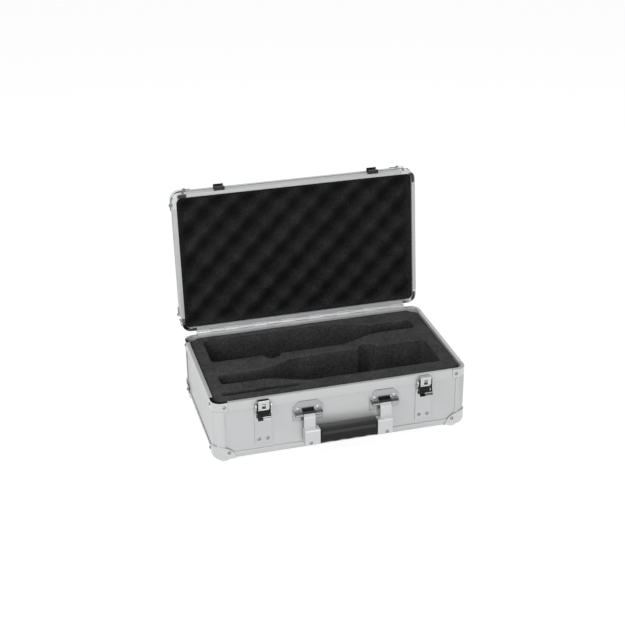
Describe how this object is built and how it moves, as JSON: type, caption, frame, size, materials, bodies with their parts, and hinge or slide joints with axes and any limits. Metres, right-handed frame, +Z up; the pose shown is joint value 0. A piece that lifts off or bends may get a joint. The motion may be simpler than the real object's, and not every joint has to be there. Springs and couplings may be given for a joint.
{
  "type": "wine bottle case",
  "caption": "Rigid two-bottle case with silver panels, metal edge profiles, chromed corners, two draw latches, a drop handle, a hinged lid standing open and grey foam inside.",
  "frame": {"origin": "centre of the flat underside; the four feet reach below it", "axes": "+X to the right along the case, -Y to the front with the handle and latches, +Z up"},
  "size_m": [0.4298, 0.3288, 0.3636],
  "materials": {
    "panel": "thin board faced with satin silver laminate",
    "profile": "satin anodised",
    "chrome": "polished",
    "dark_steel": "dark satin",
    "foam": "open-cell foam, matt",
    "grip_plastic": "moulded"
  },
  "bodies": {
    "base": {"base_front_panel": "panel", "base_rear_panel": "panel", "base_left_panel": "panel", "base_right_panel": "panel", "base_bottom_board": "panel", "base_rim_profile": "profile", "base_edge_profile": "profile", "base_corner_post_front_left": "profile", "base_rim_corner_front_left": "chrome", "base_footed_cap_front_left": "chrome", "base_corner_post_front_right": "profile", "base_rim_corner_front_right": "chrome", "base_footed_cap_front_right": "chrome", "base_corner_post_rear_right": "profile", "base_rim_corner_rear_right": "chrome", "base_footed_cap_rear_right": "chrome", "base_corner_post_rear_left": "profile", "base_rim_corner_rear_left": "chrome", "base_footed_cap_rear_left": "chrome", "base_foam_insert": "foam", "base_foam_pad": "foam", "hinge_base_leaf": "profile", "hinge_pin": "chrome", "latch_plate_left": "chrome", "latch_pin_left": "chrome", "handle_bracket_left": "chrome", "handle_pin_left": "chrome", "latch_plate_right": "chrome", "latch_pin_right": "chrome", "handle_bracket_right": "chrome", "handle_pin_right": "chrome"},
    "lid": {"lid_front_panel": "panel", "lid_rear_panel": "panel", "lid_left_panel": "panel", "lid_right_panel": "panel", "lid_top_board": "panel", "lid_rim_profile": "profile", "lid_edge_profile": "profile", "lid_rim_corner_front_left": "chrome", "lid_cap_front_left": "chrome", "lid_rim_corner_front_right": "chrome", "lid_cap_front_right": "chrome", "lid_rim_corner_rear_right": "chrome", "lid_cap_rear_right": "chrome", "lid_rim_corner_rear_left": "chrome", "lid_cap_rear_left": "chrome", "lid_foam": "foam", "hinge_lid_leaf": "profile", "lid_hook_left": "dark_steel", "lid_hook_right": "dark_steel"},
    "handle": {"handle_grip": "grip_plastic", "handle_arm_left": "profile", "handle_arm_right": "profile"},
    "lever_left": {"latch_lever_left": "chrome"},
    "claw_left": {"latch_claw_left": "chrome"},
    "lever_right": {"latch_lever_right": "chrome"},
    "claw_right": {"latch_claw_right": "chrome"}
  },
  "joints": [
    {"name": "lid_hinge", "type": "hinge", "parent": "base", "child": "lid", "pos_m": [0, 0.1255, 0.1059], "axis": [1, 0, 0], "range_deg": [0, 96]},
    {"name": "handle_pivot", "type": "hinge", "parent": "base", "child": "handle", "pos_m": [0, -0.1269, 0.0685], "axis": [-1, 0, 0], "range_deg": [0, 95]},
    {"name": "lever_pivot_left", "type": "hinge", "parent": "base", "child": "lever_left", "pos_m": [-0.1315, -0.1264, 0.0945], "axis": [-1, 0, 0], "range_deg": [0, 100]},
    {"name": "claw_pivot_left", "type": "hinge", "parent": "lever_left", "child": "claw_left", "pos_m": [-0.1315, -0.1264, 0.088], "axis": [-1, 0, 0], "range_deg": [-100, 0]},
    {"name": "lever_pivot_right", "type": "hinge", "parent": "base", "child": "lever_right", "pos_m": [0.1375, -0.1264, 0.0945], "axis": [-1, 0, 0], "range_deg": [0, 100]},
    {"name": "claw_pivot_right", "type": "hinge", "parent": "lever_right", "child": "claw_right", "pos_m": [0.1375, -0.1264, 0.088], "axis": [-1, 0, 0], "range_deg": [-100, 0]}
  ],
  "couplings": [
    {"joint": "claw_pivot_left", "follows": "lever_pivot_left", "ratio": -1},
    {"joint": "claw_pivot_right", "follows": "lever_pivot_right", "ratio": -1}
  ]
}
